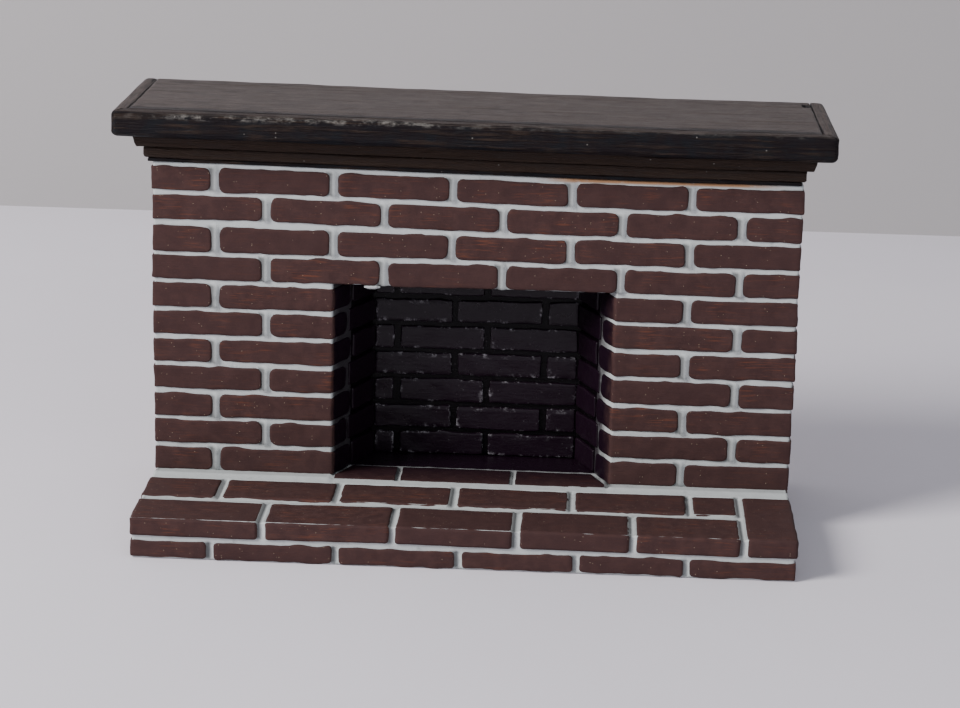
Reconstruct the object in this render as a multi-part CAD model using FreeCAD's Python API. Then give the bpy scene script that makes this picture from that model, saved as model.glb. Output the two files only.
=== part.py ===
"""Miniature brick fireplace with a dark wooden mantel shelf, 1:12 scale.

Brick slips and mortar clad a carcass of wooden blocks; the shelf is a core
board with three tiers of mitred mouldings and a let-in top board.
Frame: +X to the viewer's right, +Y towards the back, +Z up, origin at the
middle of the whole object's footprint.  All sizes are in millimetres.
"""
import FreeCAD, Part
import math
import os

from FreeCAD import Vector

os.makedirs("parts", exist_ok=True)

# Brickwork of the wall
wall_width = 149.0         # across the brick faces
wall_shift = 0.8           # the wall's middle is this far right of the shelf's middle
body_depth = 37.5          # from the wall's brick face to the back
courses = 11               # courses above the hearth
course_pitch = 6.6         # brick height and one bed joint
bed_joint = 1.15
head_joint = 1.95
stretcher = 25.3           # length of a whole brick
half_brick = 13.6
shortest_cut = 8.0         # no brick is cut shorter than this
slip = 1.6                 # thickness of the brick slips
bed_relief = 0.35          # bricks stand this far proud of the bed joints
head_relief = 0.7          # the upright joints are raked out this deep

# Opening and firebox
opening_width = 65.3
opening_courses = 7
firebox_depth = 19.0       # wall face to firebox back
firebox_splay = 8.5        # each cheek closes in by this much towards the back
reveal_long = 8.8          # returns of the jamb bricks, along the cheek
reveal_short = 6.8
reveal_joint = 1.2
firebox_relief = 0.6       # depth of the joints inside the firebox
firebox_stretcher = 20.0
firebox_joint = 1.5
firebox_first_low = 5.2    # first upright joint of the lowest course, from the left cheek
firebox_first_high = 19.0  # the same for the course above it
firebox_shortest = 4.0
firebox_panel = 1.5

# Hearth
hearth_height = 9.7
hearth_projection = 35.4   # in front of the wall's face
hearth_joint = 1.6         # upright joints of the hearth bricks
nosing_depth = 13.7
nosing_height = 4.3
nosing_gap = 2.5           # joint between the nosing row and the row behind it
nosing_overhang = 0.3
wall_foot = 6.2            # mortar along the foot of the wall
foot_rise = 0.65           # height of that mortar against the bricks
lower_joint = 1.2          # bed joint under the nosing
foot_gap = 0.3             # the lowest slips stop this far above the floor
end_header = 11.2          # width of the brick laid endways at the right end
hearth_relief = 0.1        # the bricks on top stand this far proud of their mortar
nosing_joints = (0.2166, 0.4325, 0.6351, 0.8245)           # as shares of the nosing's run
lower_joints = (0.1221, 0.3101, 0.4943, 0.6698, 0.8349)    # as shares of the wall's width
top_first = 17.8           # first upright joint, from the left end
inner_front = 2.4          # the inner row starts this far in front of the wall's face
inner_depth = 10.0
inner_first = 15.7         # first joint of the inner row, from the left jamb
inner_gap = 0.8            # mortar between the inner row and the cheeks
inner_back_joint = 0.9

# Carcass
back_board_thickness = 2.5

# Mantel shelf
shelf_end_overhang = 7.3   # cap edging beyond each end of the wall, on average
shelf_overhang = 6.8       # cap edging beyond the wall's face
cap_height = 6.0
cap_section = 8.4          # cap edging, front to core
cap_top_width = 3.4        # visible width of the edging round the top board
top_board_thickness = 2.0
top_board_gap = 0.3
middle_height = 3.0
middle_setback = 4.2       # behind the cap edging
bed_height = 2.8
bed_setback = 2.0          # behind the middle moulding
strip_height = 0.9
strip_setback = 0.4        # behind the bed moulding, at the front
strip_end_setback = 1.0    # the same at the ends
arris = 0.7                # rounding of the cap's top edge
small_arris = 0.4
bed_lean = 0.15            # the mouldings' faces lean out by this much
middle_lean = 0.75
middle_band = 0.8          # upright band along the middle moulding's top
tool_margin = 1.0          # cutting shapes reach this far past the wood

# Sizes that follow from the ones above
total_depth = hearth_projection + body_depth
shelf_length = wall_width + 2 * shelf_end_overhang
front_y = -total_depth / 2
back_y = total_depth / 2
face_y = front_y + hearth_projection
wall_left = wall_shift - wall_width / 2
wall_right = wall_shift + wall_width / 2
wall_top = hearth_height + courses * course_pitch
opening_top = hearth_height + opening_courses * course_pitch
opening_left = (wall_width - opening_width) / 2     # measured along the wall
opening_right = (wall_width + opening_width) / 2
hearth_bed = hearth_height - hearth_relief          # top of the hearth's mortar
block_top = hearth_height - slip
board_front = back_y - back_board_thickness
pitch = stretcher + head_joint
cheek_length = math.hypot(firebox_depth, firebox_splay)
cheek_dx = firebox_splay / cheek_length
cheek_dy = firebox_depth / cheek_length
reveal_end = reveal_long + reveal_joint / 2         # where the sooty mortar starts


def save(name, *shapes):
    """Write one node; several separate solids go in as one group."""
    solids = [solid for shape in shapes for solid in shape.Solids]
    shape = solids[0] if len(solids) == 1 else Part.makeCompound(solids)
    shape.exportStep("parts/" + name + ".step")
    return shape


def box(x0, x1, y0, y1, z0, z1):
    return Part.makeBox(x1 - x0, y1 - y0, z1 - z0, Vector(x0, y0, z0))


def prism(plan, z0, z1):
    """Upright prism over a closed plan outline."""
    corners = [Vector(x, y, z0) for x, y in plan]
    face = Part.Face(Part.makePolygon(corners + corners[:1]))
    return face.extrude(Vector(0, 0, z1 - z0))


def cut_all(shape, tools):
    return shape.cut(Part.makeCompound(tools)) if tools else shape


def bond(start, end, first, step, joint, shortest):
    """Bricks of one row as (start, end) pairs, with joints every step after first."""
    pieces = []
    left = start
    centre = first
    while centre < end - shortest:
        if centre > start + shortest:
            pieces.append((left, centre - joint / 2))
            left = centre + joint / 2
        centre += step
    pieces.append((left, end))
    return pieces


def cheek_point(along, inset):
    """Offset from the jamb's front corner: along the cheek, then into the pier."""
    return (cheek_dx * along - cheek_dy * inset, cheek_dy * along + cheek_dx * inset)


def cheek_reach(depth, inset):
    """How far along an inset cheek line a given depth is reached."""
    return (depth - cheek_dx * inset) / cheek_dy


def end_outline(kind, leg, inset, back):
    """Right-hand end of a piece of cladding, from its front corner round to its back."""
    if kind == "corner":
        return [(-inset, inset), (-inset, leg), (-back, leg), (-back, back)]
    if kind == "jamb":
        return [cheek_point(cheek_reach(inset, inset), inset),
                cheek_point(leg, inset),
                cheek_point(leg, back),
                cheek_point(cheek_reach(back, back), back)]
    return [(0, inset), (0, back)]


def cladding_plan(start, end, left_end, right_end, y, inset=0.0, back=slip):
    """Plan of a slip or a run of mortar along the wall, with its returns."""
    right = [(wall_left + end + dx, y + dy) for dx, dy in end_outline(*right_end, inset, back)]
    left = [(wall_left + start - dx, y + dy) for dx, dy in end_outline(*left_end, inset, back)]
    return right + left[::-1]


def side_pair(y0, y1, inset, z0, z1):
    """The same straight slip on the left and the right side."""
    return [box(wall_left + inset, wall_left + slip, y0, y1, z0, z1),
            box(wall_right - slip, wall_right - inset, y0, y1, z0, z1)]


def shared_out(start, end, shares, joint):
    """Bricks of one row as (start, end) pairs, with joints at shares of the run."""
    centres = [start + share * (end - start) for share in shares]
    lefts = [start] + [centre + joint / 2 for centre in centres]
    rights = [centre - joint / 2 for centre in centres] + [end]
    return list(zip(lefts, rights))


def mirrored(shape, x):
    return shape.mirror(Vector(x, 0, 0), Vector(1, 0, 0))


def cheek_plan(start, depth, inset, back):
    """Plan of a slip on the left cheek, from a point along it to a depth."""
    offsets = [cheek_point(start, inset),
               cheek_point(cheek_reach(depth, inset), inset),
               cheek_point(cheek_reach(depth, back), back),
               cheek_point(start, back)]
    return [(wall_left + opening_left + dx, face_y + dy) for dx, dy in offsets]


def between_cheeks(depth0, depth1, inset, z0, z1):
    """Tapered slab that fills the firebox from cheek to cheek."""
    x0 = wall_left + opening_left
    near = cheek_point(cheek_reach(depth0, inset), inset)
    far = cheek_point(cheek_reach(depth1, inset), inset)
    left = [(x0 + near[0], face_y + near[1]), (x0 + far[0], face_y + far[1])]
    right = [(2 * wall_shift - x, y) for x, y in left[::-1]]
    return prism(left + right, z0, z1)


def wall_course(number):
    """Slips of one course, counted from the top, and its raked-out upright joints."""
    z0 = wall_top - number * course_pitch
    z1 = z0 + course_pitch - bed_joint
    short_first = number % 2 == 1
    first = (half_brick if short_first else stretcher) + head_joint / 2
    side_first = (stretcher if short_first else half_brick) + head_joint / 2
    reveal = reveal_long if short_first else reveal_short
    beside_opening = number > courses - opening_courses
    side = bond(0, body_depth, side_first, pitch, head_joint, shortest_cut)
    leg = side[0][1]
    stretches = [(0, wall_width)]
    if beside_opening:
        stretches = [(0, opening_left), (opening_right, wall_width)]
    slips = []
    rakes = []
    for start, end in stretches:
        pieces = bond(start, end, first, pitch, head_joint, shortest_cut)
        for a, b in pieces:
            left_end = ("butt", 0)
            right_end = ("butt", 0)
            if a == start:
                left_end = ("corner", leg) if a == 0 else ("jamb", reveal)
            if b == end:
                right_end = ("corner", leg) if b == wall_width else ("jamb", reveal)
            slips.append(prism(cladding_plan(a, b, left_end, right_end, face_y), z0, z1))
        for (_, a), (b, _) in zip(pieces, pieces[1:]):
            rakes.append(box(wall_left + a, wall_left + b, face_y, face_y + head_relief, z0, z1))
    for a, b in side[1:]:
        slips += side_pair(face_y + a, face_y + b, 0, z0, z1)
    for (_, a), (b, _) in zip(side, side[1:]):
        rakes += [box(wall_left, wall_left + head_relief, face_y + a, face_y + b, z0, z1),
                  box(wall_right - head_relief, wall_right, face_y + a, face_y + b, z0, z1)]
    return slips, rakes


def cheek_course(number):
    """Slips on the left cheek behind the jamb's return, for one course."""
    z0 = wall_top - number * course_pitch
    reveal = reveal_long if number % 2 == 1 else reveal_short
    plan = cheek_plan(reveal + reveal_joint, firebox_depth, 0, slip)
    return prism(plan, z0, z0 + course_pitch - bed_joint)


def firebox_back_course(number):
    """Slips of the firebox's back wall, for one course."""
    z0 = wall_top - number * course_pitch
    z1 = z0 + course_pitch - bed_joint
    first = firebox_first_low if (courses - number) % 2 == 0 else firebox_first_high
    width = opening_width - 2 * firebox_splay
    x0 = wall_shift - width / 2
    y0 = face_y + firebox_depth
    step = firebox_stretcher + firebox_joint
    pieces = bond(0, width, first, step, firebox_joint, firebox_shortest)
    return [box(x0 + a, x0 + b, y0, y0 + slip, z0, z1) for a, b in pieces]


def pier_block():
    """Left pier of the carcass: square outside, splayed towards the firebox."""
    x0 = wall_left + opening_left
    near = cheek_point(cheek_reach(slip, slip), slip)
    far = cheek_point(cheek_reach(firebox_depth, slip), slip)
    plan = [(wall_left + slip, face_y + slip), (x0 + near[0], face_y + near[1]),
            (x0 + far[0], face_y + far[1]), (x0 + far[0], board_front),
            (wall_left + slip, board_front)]
    return prism(plan, block_top, opening_top)


def carcass():
    hearth = box(wall_left + slip, wall_right - slip, front_y + slip, board_front, 0, block_top)
    pier = pier_block()
    lintel = box(wall_left + slip, wall_right - slip, face_y + slip, board_front,
                 opening_top, wall_top)
    board = box(wall_left + slip, wall_right - slip, board_front, back_y, 0, wall_top)
    save("hearth_block", hearth)
    save("pier_block_left", pier)
    save("pier_block_right", mirrored(pier, wall_shift))
    save("lintel_block", lintel)
    save("back_board", board)
    return hearth


def wall():
    """Eleven courses of slips, the firebox lining and the mortar between them."""
    slips = []
    rakes = []
    for number in range(1, courses + 1):
        course, raked = wall_course(number)
        save("wall_course_%02d" % number, *course)
        slips += course
        rakes += raked
    firebox_numbers = range(courses - opening_courses + 1, courses + 1)
    cheek = [cheek_course(number) for number in firebox_numbers]
    other_cheek = [mirrored(shape, wall_shift) for shape in cheek]
    back = [shape for number in firebox_numbers for shape in firebox_back_course(number)]
    save("firebox_cheek_bricks_left", *cheek)
    save("firebox_cheek_bricks_right", *other_cheek)
    save("firebox_back_bricks", *back)

    lined = slips + cheek + other_cheek + back
    corner = ("corner", body_depth)
    jamb = ("jamb", reveal_end)
    upper = prism(cladding_plan(0, wall_width, corner, corner, face_y, bed_relief),
                  opening_top, wall_top)
    left = prism(cladding_plan(0, opening_left, corner, jamb, face_y, bed_relief),
                 hearth_bed, opening_top)
    right = prism(cladding_plan(opening_right, wall_width, jamb, corner, face_y, bed_relief),
                  hearth_bed, opening_top)
    wall_mortar = cut_all(upper.fuse([left, right]).removeSplitter(), lined + rakes)
    save("wall_mortar", wall_mortar)
    firebox_lining(lined)


def firebox_lining(bricks):
    """Back panel, floor and sooty mortar of the firebox."""
    reach = cheek_point(cheek_reach(firebox_depth, slip), slip)[0]
    x0 = wall_left + opening_left + reach
    x1 = 2 * wall_shift - x0
    back_face = face_y + firebox_depth
    panel_face = back_face + slip
    save("firebox_back_panel",
         box(x0, x1, panel_face, panel_face + firebox_panel, block_top, opening_top))
    cheek = prism(cheek_plan(reveal_end, firebox_depth, firebox_relief, slip),
                  hearth_bed, opening_top)
    back = box(x0, x1, back_face + firebox_relief, panel_face, hearth_bed, opening_top)
    strip = box(x0, x1, back_face, back_face + firebox_relief, hearth_bed, opening_top)
    inside = between_cheeks(0, firebox_depth + firebox_relief, firebox_relief,
                            hearth_bed, opening_top)
    corners = strip.cut(inside)
    mortar = back.fuse([cheek, mirrored(cheek, wall_shift), corners])
    save("firebox_mortar", cut_all(mortar.removeSplitter(), bricks))
    floor_start = inner_depth - inner_front + inner_back_joint
    save("firebox_floor", between_cheeks(floor_start, firebox_depth, slip, block_top, hearth_bed)
         .fuse(box(x0, x1, back_face, panel_face, block_top, hearth_bed)).removeSplitter())


def hearth(block):
    """Two front courses, the nosing, the rows on top and their mortar."""
    top_row_back = face_y - wall_foot
    nosing_back = front_y + nosing_depth
    top_row_front = nosing_back + nosing_gap
    nosing_bottom = hearth_height - nosing_height
    lower_top = nosing_bottom - lower_joint
    header_start = wall_width - end_header
    row_end = header_start - hearth_joint
    reach = hearth_projection + body_depth

    def laid(a, b, y0, y1):
        whole = box(wall_left + a, wall_left + b, y0, y1, nosing_bottom, hearth_height)
        return whole.cut(block)

    nosing = [laid(a, b, front_y, nosing_back)
              for a, b in shared_out(0, row_end, nosing_joints, hearth_joint)]
    top_row = [laid(a, b, top_row_front, top_row_back)
               for a, b in bond(0, row_end, top_first, stretcher + hearth_joint,
                                hearth_joint, shortest_cut)]
    header = laid(header_start, wall_width, front_y, top_row_back)

    side = bond(0, reach, half_brick + hearth_joint / 2, stretcher + hearth_joint,
                hearth_joint, shortest_cut)
    corner = ("corner", side[0][1])
    butt = ("butt", 0)
    front = shared_out(0, wall_width, lower_joints, hearth_joint)
    lower = []
    for a, b in front:
        plan = cladding_plan(a, b, corner if a == 0 else butt,
                             corner if b == wall_width else butt, front_y, nosing_overhang)
        lower.append(prism(plan, foot_gap, lower_top))
    for a, b in side[1:]:
        lower += side_pair(front_y + a, front_y + b, nosing_overhang, foot_gap, lower_top)

    plinth_start = wall_foot - hearth_joint
    plinth = []
    for a, b in bond(-plinth_start, body_depth, half_brick, stretcher + hearth_joint,
                     hearth_joint, shortest_cut):
        plinth += side_pair(face_y + a, face_y + b, 0, nosing_bottom, hearth_height - bed_joint)

    inner_back = inner_depth - inner_front
    row = between_cheeks(0, inner_back, -inner_gap, block_top, hearth_height)
    lip = box(wall_left + opening_left + inner_gap, wall_left + opening_right - inner_gap,
              face_y - inner_front, face_y, block_top, hearth_height)
    inner = row.fuse(lip).removeSplitter()
    pieces = bond(opening_left, opening_right, opening_left + inner_first,
                  stretcher + hearth_joint, hearth_joint, shortest_cut)
    joints = [box(wall_left + a, wall_left + b, face_y - inner_front, face_y + inner_back,
                  block_top, hearth_height)
              for (_, a), (b, _) in zip(pieces, pieces[1:])]
    inner = cut_all(inner, joints)

    save("hearth_nosing_course", *nosing)
    save("hearth_top_course", *top_row)
    save("hearth_end_header", header)
    save("hearth_lower_course", *lower)
    save("plinth_side_course", *plinth)
    save("hearth_inner_course", inner)
    hearth_mortar(nosing + top_row + [header] + lower + plinth + [inner], block, nosing_bottom)


def hearth_mortar(bricks, block, nosing_bottom):
    """Everything between the hearth bricks, with the sloping joint at the wall's foot."""
    corner = ("corner", total_depth)
    skirt = prism(cladding_plan(0, wall_width, corner, corner, front_y,
                                nosing_overhang + bed_relief), foot_gap / 2, nosing_bottom)
    upper = prism(cladding_plan(0, wall_width, corner, corner, front_y, bed_relief),
                  nosing_bottom, hearth_bed)
    bed = box(wall_left + slip, wall_right - slip, front_y + slip, face_y + slip,
              block_top, hearth_bed)
    mouth = between_cheeks(slip, inner_depth - inner_front + inner_back_joint, slip,
                           block_top, hearth_bed)
    profile = [Vector(0, face_y - wall_foot, hearth_bed), Vector(0, face_y, hearth_bed),
               Vector(0, face_y, hearth_height + foot_rise)]
    wedge = Part.Face(Part.makePolygon(profile + profile[:1]))
    foot = []
    for a, b in ((bed_relief, opening_left), (opening_right, wall_width - bed_relief)):
        foot.append(wedge.extrude(Vector(b - a, 0, 0)).translated(Vector(wall_left + a, 0, 0)))
    mortar = skirt.fuse([upper, bed, mouth] + foot).removeSplitter()
    save("hearth_mortar", cut_all(mortar, bricks + [block]))


def profile_wire(corners, x):
    """Closed outline in the YZ plane; each corner is (y, z, radius)."""
    count = len(corners)
    entries = []
    for index, (y, z, radius) in enumerate(corners):
        here = Vector(x, y, z)
        before = Vector(x, *corners[index - 1][:2]) - here
        after = Vector(x, *corners[(index + 1) % count][:2]) - here
        before.normalize()
        after.normalize()
        if radius == 0:
            entries.append((here, here, here))
            continue
        half = before.getAngle(after) / 2
        reach = radius / math.tan(half)
        bisector = before + after
        bisector.normalize()
        middle = here + bisector * (radius / math.sin(half) - radius)
        entries.append((here + before * reach, middle, here + after * reach))
    edges = []
    for index, (_, _, leave) in enumerate(entries):
        arrive, middle, onward = entries[(index + 1) % count]
        edges.append(Part.LineSegment(leave, arrive).toShape())
        if arrive != onward:
            edges.append(Part.Arc(arrive, middle, onward).toShape())
    return Part.Wire(edges)


def mitred_tier(name, section, front, bottom, half_length):
    """Front, left and right pieces of one moulding, mitred at the front corners.

    The section's corners are (distance behind the front face, height, radius).
    """
    depth = max(corner[0] for corner in section)
    height = max(corner[1] for corner in section)
    corners = [(front + u, bottom + w, r) for u, w, r in section]
    face = Part.Face(profile_wire(corners, -half_length))
    run = face.extrude(Vector(2 * half_length, 0, 0))
    # The left piece is the same section turned a quarter turn about the corner.
    turned = face.copy()
    turned.rotate(Vector(-half_length, front, 0), Vector(0, 0, 1), -90)
    left = turned.extrude(Vector(0, back_y - front, 0))
    reach = depth + tool_margin
    low = bottom - tool_margin
    high = bottom + height + tool_margin
    behind = prism([(-half_length - reach, front - reach), (-half_length - reach, front + reach),
                    (-half_length + reach, front + reach)], low, high)
    ahead = prism([(-half_length - reach, front - reach), (-half_length + reach, front - reach),
                   (-half_length + reach, front + reach)], low, high)
    run = run.cut([behind, mirrored(behind, 0)])
    left = left.cut(ahead)
    save(name + "_front", run)
    save(name + "_left", left)
    save(name + "_right", mirrored(left, 0))


def shelf():
    """The mantel shelf, from the thin bed strip up to the let-in top board."""
    half = shelf_length / 2
    cap_front = face_y - shelf_overhang
    middle_front = cap_front + middle_setback
    bed_front = middle_front + bed_setback
    strip_half = half - middle_setback - bed_setback - strip_end_setback
    bed_bottom = wall_top + strip_height
    middle_bottom = bed_bottom + bed_height
    cap_bottom = middle_bottom + middle_height
    top = cap_bottom + cap_height
    core_front = cap_front + cap_section
    core_half = half - cap_section
    rebate = cap_height - top_board_thickness
    save("shelf_bed_strip",
         box(-strip_half, strip_half, bed_front + strip_setback, back_y, wall_top, bed_bottom))
    save("shelf_core",
         box(-core_half, core_half, core_front, back_y, bed_bottom, cap_bottom + rebate))
    inset = cap_top_width + top_board_gap
    save("shelf_top_board",
         box(-half + inset, half - inset, cap_front + inset, back_y, cap_bottom + rebate, top))

    bed_depth = core_front - bed_front
    bed_section = [(0, bed_height, 0), (bed_lean, 0, small_arris), (bed_depth, 0, 0),
                   (bed_depth, bed_height, 0)]
    middle_depth = core_front - middle_front
    middle_section = [(0, middle_height, 0), (0, middle_height - middle_band, small_arris),
                      (middle_lean, 0, small_arris), (middle_depth, 0, 0),
                      (middle_depth, middle_height, 0)]
    cap_profile = [(0, cap_height, arris), (0, 0, small_arris), (cap_section, 0, 0),
                   (cap_section, rebate, 0), (cap_top_width, rebate, 0),
                   (cap_top_width, cap_height, small_arris)]
    mitred_tier("bed_moulding", bed_section, bed_front, bed_bottom,
                half - middle_setback - bed_setback)
    mitred_tier("middle_moulding", middle_section, middle_front, middle_bottom,
                half - middle_setback)
    mitred_tier("cap_edging", cap_profile, cap_front, cap_bottom, half)


hearth_solid = carcass()
wall()
hearth(hearth_solid)
shelf()
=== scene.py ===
import math
import random

import bmesh
import bpy
from bpy.props import FloatProperty, FloatVectorProperty, PointerProperty
from mathutils import Euler, Matrix, Vector, noise


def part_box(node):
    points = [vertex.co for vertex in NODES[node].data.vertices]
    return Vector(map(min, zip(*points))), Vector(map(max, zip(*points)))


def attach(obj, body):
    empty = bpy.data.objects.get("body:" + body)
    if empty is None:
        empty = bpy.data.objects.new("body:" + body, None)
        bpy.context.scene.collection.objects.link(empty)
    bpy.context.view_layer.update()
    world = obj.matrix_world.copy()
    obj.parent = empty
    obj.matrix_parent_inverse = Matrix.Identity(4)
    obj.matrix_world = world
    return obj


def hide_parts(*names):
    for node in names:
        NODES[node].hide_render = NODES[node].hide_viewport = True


bl_info = {
    "name": "Miniature brick fireplace",
    "version": (1, 0, 0),
    "blender": (4, 5, 0),
    "location": "3D View > Sidebar > Fireplace",
    "description": "Hand-painted brickwork, mortar and mantel shelf around a fixed frame",
    "category": "Object",
}

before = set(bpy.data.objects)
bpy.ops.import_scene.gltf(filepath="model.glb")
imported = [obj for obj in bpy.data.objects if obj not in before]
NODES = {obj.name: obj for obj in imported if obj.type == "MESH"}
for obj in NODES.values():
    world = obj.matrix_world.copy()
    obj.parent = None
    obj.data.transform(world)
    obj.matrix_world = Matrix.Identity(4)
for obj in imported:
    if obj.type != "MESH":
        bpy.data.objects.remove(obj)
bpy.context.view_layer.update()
MM = 0.001
BODY = "root"
PLACE_ORDER = Vector((1.0, 0.618, 0.271))  # a slanted line on which no two bricks meet
NOISE_SEED = 7

# Landmarks of the frame, in metres
WALL_LOW, WALL_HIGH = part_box("wall_course_01")
FACE_Y = WALL_LOW.y
WALL_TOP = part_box("wall_mortar")[1].z
OPENING_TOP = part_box("wall_course_04")[0].z
HEARTH_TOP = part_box("hearth_top_course")[1].z
FIREBOX_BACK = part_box("firebox_back_bricks")
WALL_MIDDLE = (WALL_LOW.x + WALL_HIGH.x) / 2
COURSES = sorted(name for name in NODES if name.startswith("wall_course"))
FRONT_XS = sorted(v.co.x for v in NODES["wall_course_05"].data.vertices
                  if v.co.y < FACE_Y + 0.1 * MM)
OPENING_LEFT = max(x for x in FRONT_XS if x < WALL_MIDDLE)
OPENING_RIGHT = min(x for x in FRONT_XS if x > WALL_MIDDLE)
HEARTH_COURSES = ("hearth_nosing_course", "hearth_top_course", "hearth_end_header",
                  "hearth_inner_course")

# Sizes of the hand work, in metres
SHELF_RISE = 1.1 * MM  # lift of the shelf's left end
ROW_RISE = 1.1 * MM  # lift of the top rows' left end
SKIN = 0.7 * MM  # thickness of a mortar sheet
WALL_JOINT = 0.7 * MM  # half the width of an upright joint in the wall
HEARTH_JOINT = 0.6 * MM  # half the width of a cross joint on the hearth
GREY_REACH = 9.4 * MM  # how far the pale mortar runs into the opening
BLACK_START = 9.0 * MM  # where the black joints take over
BRICK_SINK = 0.6 * MM  # how far the hearth's mortar lies below its bricks

# Stage
CAMERA_LENS = 98.3
CAMERA_PLACE = (0.02557, -0.58581, 0.20290)
CAMERA_DEGREES = (74.475, -1.302, 2.625)


# ---------------------------------------------------------------- settings

def colour(name, description, default):
    return FloatVectorProperty(name=name, description=description, default=default,
                               subtype="COLOR", min=0.0, max=1.0, size=3)


def length(name, description, default):
    return FloatProperty(name=name, description=description, default=default,
                         subtype="DISTANCE", unit="LENGTH", min=0.0, precision=5)


class BrickSettings(bpy.types.PropertyGroup):
    """Sizes and colours of the brick slips."""
    body: colour("Brick", "Main red-brown of the bricks", (0.052, 0.0245, 0.0225))
    shade: colour("Shade", "Darker brushings", (0.038, 0.0175, 0.0170))
    streak: colour("Streak", "Orange-red dry-brushed streaks", (0.125, 0.040, 0.021))
    fleck: colour("Fleck", "Tiny pale specks", (0.42, 0.34, 0.24))
    corner: length("Corner radius", "Rounding of a brick's outline", 1.35 * MM)
    arris: length("Arris", "Rounding of a brick's edges", 0.30 * MM)
    wobble: length("Wobble", "How far the outlines wander", 0.17 * MM)
    blob: length("Blob", "How far paint runs over the joints", 0.34 * MM)
    step: length("Mesh step", "Distance between mesh lines", 1.0 * MM)


class MortarSettings(bpy.types.PropertyGroup):
    """Sizes and colours of the mortar."""
    body: colour("Mortar", "Pale grey of the joints", (0.42, 0.44, 0.442))
    shade: colour("Shade", "Dirt in the joints", (0.27, 0.285, 0.29))
    stain: colour("Stain", "Brown stain that ran down from the shelf", (0.30, 0.135, 0.045))
    # Painted shadow: the dark grey down the left side of the upright joints stands for the shade
    # cast by the brick on the left.
    groove_shadow: colour("Groove shadow", "Dark grey side of the upright joints", (0.085, 0.088, 0.090))
    groove: length("Groove", "Extra depth of the upright joints", 0.70 * MM)
    step: length("Mesh step", "Distance between mesh lines", 0.5 * MM)


class FireboxSettings(bpy.types.PropertyGroup):
    """Colours of the blackened firebox."""
    body: colour("Soot", "Half-gloss black paint", (0.0070, 0.0024, 0.0066))
    worn: colour("Worn", "Greyish rubbed spots", (0.05, 0.045, 0.05))
    deep: colour("Joint", "Black in the firebox joints", (0.0022, 0.0014, 0.0022))
    # Painted highlight: pale broken glints along the rims of the black bricks.
    glint: colour("Glint", "Pale broken lines along the rims", (0.34, 0.32, 0.35))


class ShelfSettings(bpy.types.PropertyGroup):
    """Sizes and colours of the wooden shelf."""
    body: colour("Stain", "Near-black brown of the wood", (0.0058, 0.0034, 0.0047))
    blue: colour("Blue-black", "Cooler brushings", (0.0050, 0.0052, 0.0075))
    grain: colour("Grain", "Brown that shows along the grain", (0.030, 0.0190, 0.0140))
    worn: colour("Worn", "Pale rubbed arrises", (0.24, 0.225, 0.205))
    dust: colour("Dust", "Grey-brown bloom on the top board", (0.085, 0.064, 0.056))
    corner: length("Corner radius", "Rounding of the front corners", 1.5 * MM)
    relief: length("Grain relief", "Height of the raised grain", 0.14 * MM)
    step: length("Mesh step", "Distance between mesh lines", 1.2 * MM)


# ---------------------------------------------------------------- mesh helpers

def cad_copy(name):
    """A clean bmesh of one CAD node: merged, with its flat faces whole again."""
    bm = bmesh.new()
    bm.from_mesh(NODES[name].data)
    bmesh.ops.remove_doubles(bm, verts=bm.verts, dist=0.001 * MM)
    bmesh.ops.dissolve_limit(bm, angle_limit=math.radians(1), verts=bm.verts, edges=bm.edges)
    return bm


def islands(bm):
    """Connected pieces of a bmesh, each a list of its vertices, ordered by place."""
    bm.verts.index_update()
    seen = set()
    found = []
    for start in bm.verts:
        if start in seen:
            continue
        seen.add(start)
        piece = [start]
        for vert in piece:
            for edge in vert.link_edges:
                other = edge.other_vert(vert)
                if other not in seen:
                    seen.add(other)
                    piece.append(other)
        found.append(piece)
    return sorted(found, key=lambda verts: sum(extent(verts), Vector((0, 0, 0))).dot(PLACE_ORDER))


def extent(verts):
    """Lowest and highest corner of the box around some vertices."""
    low = Vector([min(v.co[i] for v in verts) for i in range(3)])
    high = Vector([max(v.co[i] for v in verts) for i in range(3)])
    return low, high


def cut_at(bm, axis, place):
    """Cuts every face along one plane across an axis."""
    normal = Vector((0, 0, 0))
    normal[axis] = 1
    origin = Vector((0, 0, 0))
    origin[axis] = place
    geom = bm.verts[:] + bm.edges[:] + bm.faces[:]
    bmesh.ops.bisect_plane(bm, geom=geom, dist=0.002 * MM, plane_co=origin, plane_no=normal)


def cut_grid(bm, steps):
    """Cuts every face along planes at even steps in X, Y and Z (None leaves an axis whole)."""
    low, high = extent(bm.verts)
    for axis, step in enumerate(steps):
        if step is None:
            continue
        count = max(1, round((high[axis] - low[axis]) / step))
        for k in range(1, count):
            cut_at(bm, axis, low[axis] + (high[axis] - low[axis]) * k / count)


def sharp_edges(bm, degrees):
    """Edges whose faces meet at more than the given angle."""
    limit = math.radians(degrees)
    return [e for e in bm.edges if len(e.link_faces) == 2 and e.calc_face_angle(0) > limit]


def bevel(bm, edges, offset, segments):
    bmesh.ops.bevel(bm, geom=edges, offset=offset, offset_type="OFFSET", segments=segments,
                    profile=0.5, affect="EDGES", clamp_overlap=True, material=-1)


def finish_piece(bm, name, material, replaced):
    """Turns a bmesh into a piece that rides on the body and stands for its CAD nodes."""
    bmesh.ops.recalc_face_normals(bm, faces=bm.faces)
    mesh = bpy.data.meshes.new(name)
    bm.to_mesh(mesh)
    bm.free()
    mesh.polygons.foreach_set("use_smooth", [True] * len(mesh.polygons))
    mesh.materials.append(material)
    piece = bpy.data.objects.new(name, mesh)
    bpy.context.scene.collection.objects.link(piece)
    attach(piece, BODY)
    if replaced:
        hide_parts(*replaced)
    return piece


def shelf_lift(x):
    """The shelf's left end sits slightly high on a thicker bed of mortar."""
    return SHELF_RISE * min(max((40 * MM - x) / (120 * MM), 0.0), 1.0)


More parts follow.
